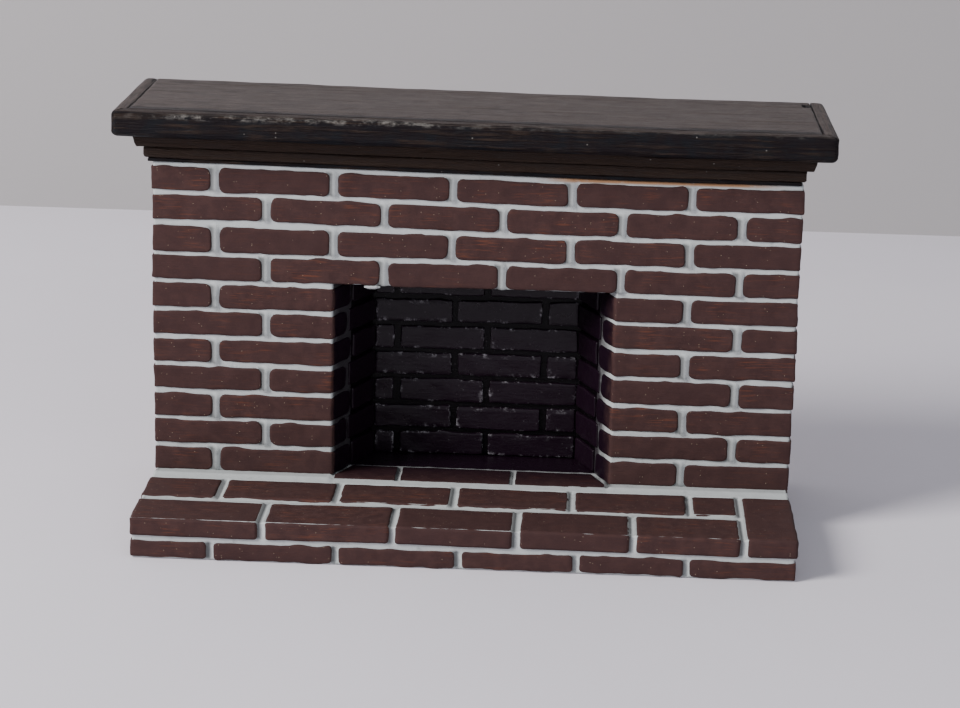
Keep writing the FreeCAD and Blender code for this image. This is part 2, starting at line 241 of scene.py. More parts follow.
def smoothstep(value):
    """Eases from 0 to 1 as the value goes from 0 to 1."""
    value = min(max(value, 0.0), 1.0)
    return value * value * (3 - 2 * value)


def row_lift(place):
    """The top two rows of bricks climb a little towards the left."""
    upper = smoothstep((place.z - WALL_TOP) / (10 * MM) + 2)
    return ROW_RISE * upper * smoothstep((40 * MM - place.x) / (110 * MM))


# ---------------------------------------------------------------- shader helpers

class Nodes:
    """Short calls for building a node tree."""

    def __init__(self, tree):
        self.tree = tree

    def add(self, kind, **values):
        node = self.tree.nodes.new(kind)
        for key, value in values.items():
            setattr(node, key, value)
        return node

    def link(self, source, target):
        if hasattr(source, "type") and hasattr(source, "links"):
            self.tree.links.new(source, target)
        else:
            target.default_value = source

    def math(self, operation, a, b=0.5, c=None, clamp=False):
        node = self.add("ShaderNodeMath", operation=operation, use_clamp=clamp)
        self.link(a, node.inputs[0])
        self.link(b, node.inputs[1])
        if c is not None:
            self.link(c, node.inputs[2])
        return node.outputs[0]

    def mix(self, factor, a, b):
        node = self.add("ShaderNodeMix", data_type="RGBA")
        self.link(factor, node.inputs["Factor"])
        self.link(a, node.inputs[6])
        self.link(b, node.inputs[7])
        return node.outputs[2]

    def ramp(self, value, low, high):
        node = self.add("ShaderNodeMapRange", interpolation_type="SMOOTHSTEP")
        self.link(value, node.inputs["Value"])
        self.link(low, node.inputs["From Min"])
        self.link(high, node.inputs["From Max"])
        return node.outputs["Result"]

    def stretch(self, vector, scale):
        node = self.add("ShaderNodeVectorMath", operation="MULTIPLY")
        self.link(vector, node.inputs[0])
        self.link(scale, node.inputs[1])
        return node.outputs[0]

    def noise(self, vector, scale, detail=3.0, roughness=0.55):
        node = self.add("ShaderNodeTexNoise")
        self.link(vector, node.inputs["Vector"])
        self.link(scale, node.inputs["Scale"])
        node.inputs["Detail"].default_value = detail
        node.inputs["Roughness"].default_value = roughness
        return node.outputs["Fac"]

    def axes(self, vector):
        node = self.add("ShaderNodeSeparateXYZ")
        self.link(vector, node.inputs[0])
        return node.outputs

    def group(self, tree, **values):
        node = self.add("ShaderNodeGroup", node_tree=tree)
        for key, value in values.items():
            self.link(value, node.inputs[key.replace("_", " ")])
        return node.outputs


def new_group(name, inputs, outputs):
    """A node group with its sockets; gives its tree, node calls, inputs and outputs."""
    tree = bpy.data.node_groups.new(name, "ShaderNodeTree")
    for label, default in inputs.items():
        kind = "NodeSocketVector" if isinstance(default, tuple) else "NodeSocketFloat"
        socket = tree.interface.new_socket(label, in_out="INPUT", socket_type=kind)
        socket.default_value = default
    for label in outputs:
        tree.interface.new_socket(label, in_out="OUTPUT", socket_type="NodeSocketFloat")
    nodes = Nodes(tree)
    return tree, nodes, nodes.add("NodeGroupInput").outputs, nodes.add("NodeGroupOutput").inputs


def brushed_streaks():
    """Dry-brushed streaks that run along one direction."""
    if "Brushed streaks" in bpy.data.node_groups:
        return bpy.data.node_groups["Brushed streaks"]
    tree, nodes, given, result = new_group(
        "Brushed streaks",
        {"Vector": (0, 0, 0), "Along": (1, 1, 1), "Scale": 900.0, "Cover": 0.5},
        ["Streaks", "Patches"])
    along = nodes.stretch(given["Vector"], given["Along"])
    fine = nodes.noise(along, given["Scale"], 4.0, 0.62)
    patches = nodes.noise(given["Vector"], 130.0, 2.0)
    top = nodes.math("ADD", given["Cover"], 0.2)
    nodes.link(nodes.ramp(fine, given["Cover"], top), result["Streaks"])
    nodes.link(nodes.ramp(patches, 0.38, 0.66), result["Patches"])
    return tree


def flecks():
    """Tiny scattered specks of dust and stray paint."""
    if "Flecks" in bpy.data.node_groups:
        return bpy.data.node_groups["Flecks"]
    tree, nodes, given, result = new_group(
        "Flecks", {"Vector": (0, 0, 0), "Scale": 900.0, "Size": 0.12}, ["Mask"])
    cells = nodes.add("ShaderNodeTexVoronoi", feature="F1")
    nodes.link(given["Vector"], cells.inputs["Vector"])
    nodes.link(given["Scale"], cells.inputs["Scale"])
    spot = nodes.math("LESS_THAN", cells.outputs["Distance"], given["Size"])
    chosen = nodes.math("GREATER_THAN", nodes.axes(cells.outputs["Color"])[0], 0.90)
    nodes.link(nodes.math("MULTIPLY", spot, chosen), result["Mask"])
    return tree


def soot_and_shade_mask():
    """How black a point is: rises with depth inside the opening, and starts earlier on the left,
    where the extra darkness is painted shade on the shaded left reveal.
    """
    if "Soot and shade mask" in bpy.data.node_groups:
        return bpy.data.node_groups["Soot and shade mask"]
    tree, nodes, given, result = new_group(
        "Soot and shade mask",
        {"Vector": (0, 0, 0), "Start": 0.0, "Fade": 0.005, "Middle": 0.0, "Reach": 0.04,
         "Early": 0.0, "Face": -1.0},
        ["Mask"])
    x, y, _ = nodes.axes(given["Vector"])
    ragged = nodes.noise(given["Vector"], 260.0, 4.0, 0.6)
    shift = nodes.math("MULTIPLY", nodes.math("SUBTRACT", ragged, 0.5), 0.007)
    left = nodes.math("LESS_THAN", x, given["Middle"])
    # The Early lead darkens the left side sooner: painted shade for the left reveal.
    early = nodes.math("MULTIPLY_ADD", left, given["Early"], nodes.math("ADD", y, shift))
    depth = nodes.math("SUBTRACT", early, given["Start"])
    black = nodes.ramp(nodes.math("DIVIDE", depth, given["Fade"]), 0.0, 1.0)
    aside = nodes.math("ABSOLUTE", nodes.math("SUBTRACT", x, given["Middle"]))
    inside = nodes.math("LESS_THAN", aside, given["Reach"])
    proud = nodes.math("SUBTRACT", y, given["Face"])
    behind = nodes.math("MULTIPLY", nodes.ramp(proud, 0.5 * MM, 1.2 * MM), inside)
    nodes.link(nodes.math("MULTIPLY", black, behind), result["Mask"])
    return tree


def new_material(name):
    """An empty Principled material and its object coordinates."""
    material = bpy.data.materials.new(name)
    material.use_nodes = True
    nodes = Nodes(material.node_tree)
    shader = material.node_tree.nodes["Principled BSDF"]
    place = nodes.add("ShaderNodeTexCoord").outputs["Object"]
    return material, nodes, shader, place


def add_bump(nodes, shader, height, strength, distance):
    """Feeds a height to the shader as bump."""
    bump = nodes.add("ShaderNodeBump")
    bump.inputs["Strength"].default_value = strength
    bump.inputs["Distance"].default_value = distance
    nodes.link(height, bump.inputs["Height"])
    nodes.link(bump.outputs["Normal"], shader.inputs["Normal"])


def rgba(value):
    return (*value, 1.0)


def firebox_soot_and_shade(nodes, place, start, fade, early, face):
    """The soot mask of this opening; it starts earlier on the left by the given depth, which paints
    shade onto the left reveal.
    """
    return nodes.group(soot_and_shade_mask(), Vector=place, Start=FACE_Y + start, Fade=fade,
                       Middle=WALL_MIDDLE, Reach=0.6 * (OPENING_RIGHT - OPENING_LEFT),
                       Early=early, Face=face)["Mask"]


def brick_material(name="Painted brick", along=(0.07, 0.07, 1.0), start=-3 * MM, fade=7.5 * MM,
                   early=2.6 * MM, face=FACE_Y):
    """Red-brown paint, dry-brushed along the brick, turning to soot inside the firebox, with painted
    shade darkening the left reveal early.
    """
    if name in bpy.data.materials:
        return bpy.data.materials[name]
    settings = bpy.context.scene.fireplace_bricks
    firebox = bpy.context.scene.fireplace_firebox
    material, nodes, shader, place = new_material(name)
    tone = nodes.add("ShaderNodeAttribute", attribute_name="brick_tone").outputs["Fac"]
    brushed = nodes.group(brushed_streaks(), Vector=place, Along=along, Scale=2300.0)
    mottle = nodes.noise(place, 420.0, 4.0, 0.6)
    paint = nodes.mix(nodes.ramp(mottle, 0.35, 0.68), rgba(settings.shade), rgba(settings.body))
    paint = nodes.mix(nodes.math("MULTIPLY", tone, 0.45), paint, rgba(settings.shade))
    amount = nodes.math("MULTIPLY", brushed["Streaks"], brushed["Patches"])
    amount = nodes.math("MULTIPLY", amount, nodes.math("SUBTRACT", 1.1, tone), clamp=True)
    paint = nodes.mix(nodes.math("MULTIPLY", amount, 0.72), paint, rgba(settings.streak))
    specks = nodes.group(flecks(), Vector=place, Scale=1700.0, Size=0.13)["Mask"]
    paint = nodes.mix(nodes.math("MULTIPLY", specks, 0.7), paint, rgba(settings.fleck))
    # Soot inside the firebox, plus painted shade on the left reveal from the early start.
    soot_and_painted_light = firebox_soot_and_shade(nodes, place, start, fade, early, face)
    paint = nodes.mix(soot_and_painted_light, paint, rgba(firebox.body))
    nodes.link(paint, shader.inputs["Base Color"])
    matt = nodes.math("MULTIPLY_ADD", mottle, 0.2, 0.68)
    gloss = nodes.math("MULTIPLY_ADD", mottle, 0.25, 0.22)
    rough = nodes.add("ShaderNodeMix")
    nodes.link(soot_and_painted_light, rough.inputs["Factor"])
    nodes.link(matt, rough.inputs[2])
    nodes.link(gloss, rough.inputs[3])
    nodes.link(rough.outputs[0], shader.inputs["Roughness"])
    shader.inputs["Specular IOR Level"].default_value = 0.18
    height = nodes.math("ADD", nodes.noise(nodes.stretch(place, along), 2600.0, 5.0, 0.7),
                        nodes.math("MULTIPLY", mottle, 1.2))
    add_bump(nodes, shader, height, 0.45, 0.12 * MM)
    return material


def mortar_material(name="Grey mortar", start=1 * MM, fade=7 * MM, early=5 * MM,
                    face=FACE_Y):
    """Fine pale mortar with dirt in it, painted shadow down the left side of the upright joints, a
    brown run under the shelf, and soot inside that starts early on the left reveal as painted shade.
    """
    if name in bpy.data.materials:
        return bpy.data.materials[name]
    settings = bpy.context.scene.fireplace_mortar
    firebox = bpy.context.scene.fireplace_firebox
    material, nodes, shader, place = new_material(name)
    dirt_and_shadow_noise = nodes.noise(place, 300.0, 5.0, 0.65)
    fine = nodes.noise(place, 2400.0, 3.0, 0.6)
    paint = nodes.mix(nodes.ramp(dirt_and_shadow_noise, 0.56, 0.80), rgba(settings.body), rgba(settings.shade))
    # Painted shadow down the left side of each upright joint, broken up by the noise.
    shaded = nodes.add("ShaderNodeAttribute", attribute_name="joint_shade").outputs["Fac"]
    patchy = nodes.math("MULTIPLY", shaded, nodes.ramp(dirt_and_shadow_noise, 0.1, 0.4))
    paint = nodes.mix(nodes.math("MULTIPLY", patchy, 0.9), paint, rgba(settings.groove_shadow))
    x, _, z = nodes.axes(place)
    below = nodes.ramp(z, WALL_TOP - 1.1 * MM, WALL_TOP - 0.5 * MM)
    across = nodes.math("MULTIPLY", nodes.ramp(x, 12 * MM, 24 * MM), nodes.ramp(x, 74 * MM, 60 * MM))
    run = nodes.math("MULTIPLY", nodes.math("MULTIPLY", below, across), nodes.ramp(dirt_and_shadow_noise, 0.2, 0.45))
    paint = nodes.mix(nodes.math("MULTIPLY", run, 0.9), paint, rgba(settings.stain))
    # Soot inside the firebox, plus painted shade on the left reveal from the early start.
    soot_and_painted_light = firebox_soot_and_shade(nodes, place, start, fade, early, face)
    paint = nodes.mix(nodes.math("MULTIPLY", soot_and_painted_light, 0.94), paint, rgba(firebox.body))
    nodes.link(paint, shader.inputs["Base Color"])
    rough = nodes.math("MULTIPLY_ADD", soot_and_painted_light, -0.42, 0.80)
    nodes.link(rough, shader.inputs["Roughness"])
    shader.inputs["Specular IOR Level"].default_value = 0.3
    height = nodes.math("ADD", fine, nodes.math("MULTIPLY", dirt_and_shadow_noise, 2.0))
    add_bump(nodes, shader, height, 0.4, 0.10 * MM)
    return material


def soot_and_glint_material(name="Black soot paint", tint="body", shine=0.22):
    """Half-gloss black paint, rubbed grey in spots, with painted highlights glinting along the
    bricks' rims.
    """
    if name in bpy.data.materials:
        return bpy.data.materials[name]
    settings = bpy.context.scene.fireplace_firebox
    material, nodes, shader, place = new_material(name)
    mottle = nodes.noise(place, 500.0, 4.0, 0.65)
    spots = nodes.group(flecks(), Vector=place, Scale=950.0, Size=0.16)["Mask"]
    rubbed = nodes.math("MULTIPLY", nodes.ramp(mottle, 0.58, 0.9), 0.16)
    paint = nodes.mix(rubbed, rgba(getattr(settings, tint)), rgba(settings.worn))
    paint = nodes.mix(nodes.math("MULTIPLY", spots, 0.6), paint, rgba(settings.worn))
    # Painted highlight: pale broken glints along the bricks' rims.
    rim = nodes.add("ShaderNodeAttribute", attribute_name="brick_rim").outputs["Fac"]
    broken = nodes.ramp(nodes.noise(place, 420.0, 5.0, 0.8), 0.54, 0.66)
    glint = nodes.math("MULTIPLY", nodes.math("MULTIPLY", rim, broken), 0.75)
    paint = nodes.mix(glint, paint, rgba(settings.glint))
    nodes.link(paint, shader.inputs["Base Color"])
    nodes.link(nodes.math("MULTIPLY_ADD", mottle, 0.35, 0.14), shader.inputs["Roughness"])
    shader.inputs["Specular IOR Level"].default_value = shine
    along = nodes.noise(nodes.stretch(place, (0.2, 0.2, 1.0)), 1800.0, 4.0, 0.65)
    add_bump(nodes, shader, nodes.math("ADD", along, mottle), 0.6, 0.14 * MM)
    return material


def shelf_material(name, along, wear_line=None, dusty=0.55, groove=None, gain=1.0, shine=0.10):
    """Near-black stained wood; the wear line is the (y, z) of an arris that is rubbed pale,
    the groove is the y of a board's front edge, darkened there as painted shade, and the gain brings
    out the brown grain, which on the mouldings is painted light against the cap's shadow."""
    if name in bpy.data.materials:
        return bpy.data.materials[name]
    settings = bpy.context.scene.fireplace_shelf
    material, nodes, shader, place = new_material(name)
    brushed = nodes.group(brushed_streaks(), Vector=place, Along=along, Scale=1500.0, Cover=0.46)
    lines = nodes.noise(nodes.stretch(place, along), 2600.0, 6.0, 0.7)
    mottle = nodes.noise(place, 240.0, 3.0, 0.6)
    patches = nodes.math("MULTIPLY_ADD", brushed["Patches"], 0.7 * gain, 0.3 * gain)
    amount = nodes.math("MULTIPLY_ADD", brushed["Streaks"], patches, 0.3 * (gain - 1), clamp=True)
    under = nodes.mix(nodes.ramp(mottle, 0.4, 0.65), rgba(settings.body), rgba(settings.blue))
    paint = nodes.mix(amount, under, rgba(settings.grain))
    facing = nodes.axes(nodes.add("ShaderNodeNewGeometry").outputs["Normal"])[2]
    level = nodes.ramp(facing, 0.75, 0.95)
    dust = nodes.math("MULTIPLY_ADD", nodes.ramp(lines, 0.36, 0.64), 0.75, 0.25)
    dust = nodes.math("MULTIPLY", nodes.math("MULTIPLY", dust, level), dusty)
    paint = nodes.mix(dust, paint, rgba(settings.dust))
    specks = nodes.group(flecks(), Vector=place, Scale=700.0, Size=0.11)["Mask"]
    paint = nodes.mix(nodes.math("MULTIPLY", specks, 0.6), paint, rgba(settings.worn))
    if groove:
        # Painted shade: darkens the board's front edge, where a raised board's front face would
        # stand in shade.
        _, y, _ = nodes.axes(place)
        uneven = nodes.noise(nodes.stretch(place, (0.4, 1, 1)), 500.0)
        ragged = nodes.math("MULTIPLY", uneven, 3.0 * MM)
        behind = nodes.math("SUBTRACT", nodes.math("SUBTRACT", y, groove), ragged)
        dark = nodes.math("MULTIPLY", nodes.ramp(behind, 1.6 * MM, 0.6 * MM), 0.92)
        paint = nodes.mix(dark, paint, rgba(settings.body))
    if wear_line:
        x, y, z = nodes.axes(place)
        near_y = nodes.ramp(nodes.math("ABSOLUTE", nodes.math("SUBTRACT", y, wear_line[0])),
                            1.5 * MM, 0.2 * MM)
        near_z = nodes.ramp(nodes.math("ABSOLUTE", nodes.math("SUBTRACT", z, wear_line[1])),
                            1.0 * MM, 0.1 * MM)
        patchy = nodes.ramp(nodes.noise(nodes.stretch(place, (0.5, 1, 1)), 620.0, 6.0, 0.8),
                            0.46, 0.66)
        left = nodes.math("MULTIPLY", nodes.ramp(x, -76 * MM, -60 * MM),
                          nodes.ramp(x, 10 * MM, -25 * MM))
        strength = nodes.math("MULTIPLY_ADD", left, 0.55, 0.2)
        wear = nodes.math("MULTIPLY", nodes.math("MULTIPLY", near_y, near_z),
                          nodes.math("MULTIPLY", patchy, strength))
        paint = nodes.mix(wear, paint, rgba(settings.worn))
    nodes.link(paint, shader.inputs["Base Color"])
    rough = nodes.math("MULTIPLY_ADD", mottle, 0.2, 0.34)
    nodes.link(rough, shader.inputs["Roughness"])
    shader.inputs["Specular IOR Level"].default_value = shine
    height = nodes.math("ADD", lines, nodes.math("MULTIPLY", brushed["Streaks"], 0.5))
    add_bump(nodes, shader, height, 1.0, 0.3 * MM)
    return material


def bare_wood_material(name, pale, dark):
    """Plain unfinished board, fine grain along X."""
    material, nodes, shader, place = new_material(name)
    grain = nodes.noise(nodes.stretch(place, (0.08, 1.0, 1.0)), 900.0, 6.0, 0.65)
    patch = nodes.noise(place, 60.0, 3.0)
    shade = nodes.math("MULTIPLY_ADD", patch, 0.6, nodes.math("MULTIPLY", grain, 0.6))
    nodes.link(nodes.mix(nodes.ramp(shade, 0.35, 0.85), pale, dark), shader.inputs["Base Color"])
    nodes.link(nodes.math("MULTIPLY_ADD", grain, 0.2, 0.6), shader.inputs["Roughness"])
    add_bump(nodes, shader, grain, 0.3, 0.08 * MM)
    return material


# ---------------------------------------------------------------- pieces

def nudge_bricks(bm, rng):
    """Every brick sits a little off its nominal place and size."""
    for verts in islands(bm):
        low, high = extent(verts)
        centre = (low + high) / 2
        turn = Matrix.Rotation(math.radians(rng.uniform(-0.45, 0.45)), 4, "Y")
        size = Matrix.Diagonal((1 + rng.uniform(-0.002, 0.008), 1,
                                1 + rng.uniform(-0.03, 0.03), 1))
        shift = Vector((rng.uniform(-0.12, 0.12), 0, rng.uniform(-0.1, 0.1))) * MM
        place = Matrix.Translation(centre + shift) @ turn @ size @ Matrix.Translation(-centre)
        bmesh.ops.transform(bm, matrix=place, verts=verts)


def roughen_bricks(bm, settings, rng, upright):
    """Wandering outlines, runs of paint over the joints, a tone for each brick and a rim mask for
    painted highlights.
    """
    tones = bm.verts.layers.float.new("brick_tone")
    rims = bm.verts.layers.float.new("brick_rim")
    for verts in islands(bm):
        low, high = extent(verts)
        tone = rng.random()
        offset = Vector((rng.uniform(-5, 5), rng.uniform(-5, 5), rng.uniform(-5, 5)))
        for vert in verts:
            vert[tones] = tone
            inset = min(vert.co.x - low.x, high.x - vert.co.x, vert.co.z - low.z,
                        high.z - vert.co.z)
            # Rim mask that places the painted highlights on the black bricks.
            vert[rims] = smoothstep(1.2 - inset / (0.5 * MM))
            here = vert.co / MM + offset
            drift = noise.noise_vector(here * 0.26) * 1.2 + noise.noise_vector(here * 0.9) * 0.35
            push = max(0.0, noise.noise(here * 0.22 + Vector((31, 7, 3))) - 0.12) * 2.2
            spread = settings.blob * min(push, 1.0) if upright else 0.0
            if vert.co.z > high.z - 0.45 * MM:
                vert.co.z += spread
            elif vert.co.z < low.z + 0.45 * MM:
                vert.co.z -= spread * 0.4
            if not upright:
                drift.z *= 0.35
            vert.co += drift * settings.wobble


def brick_piece(name, nodes, material=None, corner=None, relief=1.0, upright=True):
    """Hand-painted bricks in place of one or more CAD nodes."""
    settings = bpy.context.scene.fireplace_bricks
    rng = random.Random(name)
    bm = bmesh.new()
    for node in nodes:
        part = cad_copy(node)
        mesh = bpy.data.meshes.new("part")
        part.to_mesh(mesh)
        part.free()
        bm.from_mesh(mesh)
        bpy.data.meshes.remove(mesh)
    nudge_bricks(bm, rng)
    ends = [e for e in bm.edges if 1.15 * MM < e.calc_length() < 1.95 * MM]
    bevel(bm, ends, corner or settings.corner, 3)
    bevel(bm, sharp_edges(bm, 40), settings.arris * relief, 2)
    cut_grid(bm, (settings.step, settings.step, settings.step))
    roughen_bricks(bm, settings, rng, upright)
    for vert in bm.verts:
        vert.co.z += row_lift(vert.co)
    return finish_piece(bm, name, material or brick_material(), nodes)


def brick_boxes(names):
    """Boxes of the single bricks in some CAD nodes."""
    boxes = []
    for name in names:
        bm = cad_copy(name)
        boxes += [extent(verts) for verts in islands(bm)]
        bm.free()
    return boxes


def joint_mask(place, spans, half):
    """How far a place lies inside an upright joint (0 to 1) and how far towards its left side, which
    carries the painted shadow.
    """
    before = after = 3 * half
    for low, high in spans:
        if low < place < high:
            return 0.0, smoothstep((place - high) / (0.5 * MM) + 2)
        if high <= place:
            before = min(before, place - high)
        else:
            after = min(after, low - place)
    depth = smoothstep(min(before, after) / half)
    return depth, smoothstep(2.4 * after / (before + after) - 0.85)


def face_joint(co, boxes, axis, half):
    """The joint mask on an upright face whose bricks run along the axis."""
    other = 1 - axis
    spans = [(low[axis], high[axis]) for low, high in boxes
             if low.z - 0.05 * MM < co.z < high.z + 0.05 * MM
             and low[other] - 1.5 * MM < co[other] < high[other] + 1.5 * MM]
    return joint_mask(co[axis], spans, half) if spans else (0.0, 0.0)


def top_joint(co, boxes, half):
    """The joint mask on the hearth's upper face, whose rows run from side to side."""
    spans = [(low.x, high.x) for low, high in boxes
             if high.z > HEARTH_TOP - 0.1 * MM and low.y < co.y < high.y]
    return joint_mask(co.x, spans, half) if spans else (0.0, 0.0)


def weather_mortar(bm, groove_of, groove):
    """Sinks the upright joints, leaves the rest slightly uneven and keeps each joint's painted
    shadow on its left side.
    """
    shade = bm.verts.layers.float.new("joint_shade")
    bm.normal_update()
    moved = []
    for vert in bm.verts:
        depth, side = groove_of(vert.co)
        uneven = noise.noise(vert.co / MM * 0.5) * 0.07 + noise.noise(vert.co / MM * 1.6) * 0.03
        moved.append((vert, side, vert.normal * (uneven * MM - groove * depth)))
    for vert, dark, move in moved:
        vert[shade] = dark
        vert.co += move


def wall_sheet(bm, plan, z0, z1):
    """An upright sheet of mortar over a run of plan points."""
    base = [bm.verts.new((x, y, z0)) for x, y in plan]
    edges = [bm.edges.new(pair) for pair in zip(base, base[1:])]
    up = bmesh.ops.extrude_edge_only(bm, edges=edges)["geom"]
    verts = [item for item in up if isinstance(item, bmesh.types.BMVert)]
    bmesh.ops.translate(bm, verts=verts, vec=(0, 0, z1 - z0))


def firebox_corner(side):
    """Where the firebox's back meets a cheek; side is -1 left, 1 right."""
    return FIREBOX_BACK[0].x if side < 0 else FIREBOX_BACK[1].x


def cheek_line(side, inset):
    """Front end, direction and inward step of a cheek's mortar; side is -1 left, 1 right."""
    jamb_x = OPENING_LEFT if side < 0 else OPENING_RIGHT
    back_x = firebox_corner(side)
    jamb = Vector((jamb_x, FACE_Y))
    along = Vector((back_x, FIREBOX_BACK[0].y)) - jamb
    along.normalize()
    into = Vector((-along.y, along.x)) * (1 if side < 0 else -1) * inset
    return jamb, along, into


# ---------------------------------------------------------------- operators

class FIREPLACE_OT_wall_bricks(bpy.types.Operator):
    """Lay the courses of hand-painted bricks on the wall and the sides of the plinth"""
    bl_idname = "fireplace.wall_bricks"
    bl_label = "Wall bricks"

    def execute(self, context):
        for name in COURSES:
            brick_piece("brick_" + name[5:], [name])
        brick_piece("brick_plinth", ["plinth_side_course"], corner=0.6 * MM)
        return {"FINISHED"}


class FIREPLACE_OT_hearth_bricks(bpy.types.Operator):
    """Lay the hearth's front course, nosing, top rows and the row inside the opening"""
    bl_idname = "fireplace.hearth_bricks"
    bl_label = "Hearth bricks"

    def execute(self, context):
        # This paint darkens towards the wall and into the opening.
        flat = brick_material("Painted hearth brick", (0.07, 1.0, 1.0), -12 * MM, 26 * MM, 0.0, -1.0)
        for name in HEARTH_COURSES:
            brick_piece("brick_" + name, [name], material=flat, corner=0.8 * MM, relief=1.9,
                        upright=False)
        brick_piece("brick_hearth_lower", ["hearth_lower_course"], corner=0.8 * MM)
        return {"FINISHED"}


class FIREPLACE_OT_firebox(bpy.types.Operator):
    """Line the firebox with blackened bricks, mortar, floor and back panel"""
    bl_idname = "fireplace.firebox"
    bl_label = "Firebox"

    def execute(self, context):
        soot_and_painted_light = soot_and_glint_material()
        brick_piece("firebox_back_wall", ["firebox_back_bricks"], soot_and_painted_light, 0.5 * MM)
        brick_piece("firebox_cheeks", ["firebox_cheek_bricks_left", "firebox_cheek_bricks_right"],
                    brick_material(), 0.5 * MM)
        self.black_joints()
        for name in ("firebox_floor", "firebox_back_panel"):
            use_material(NODES[name], soot_and_painted_light)
        return {"FINISHED"}

    def black_joints(self):
        """The black sheet behind the bricks of both cheeks and the back."""
        low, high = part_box("firebox_mortar")
        bm = bmesh.new()
        plan = []
        for side in (-1, 1):
            jamb, along, into = cheek_line(side, 0.6 * MM)
            back = Vector((firebox_corner(side), FIREBOX_BACK[0].y + 0.6 * MM))
            back.x += side * 0.65 * MM
            run = [jamb + along * BLACK_START + into, back]
            plan += run if side < 0 else run[::-1]
        wall_sheet(bm, plan, low.z, high.z)
        cut_grid(bm, (1.0 * MM, 1.0 * MM, 1.1 * MM))
        weather_mortar(bm, lambda co: (0.0, 0.0), 0.0)
        deep = soot_and_glint_material("Black joint", "deep", 0.1)
        lining = finish_piece(bm, "firebox_joints", deep, ["firebox_mortar"])
        thicken(lining)


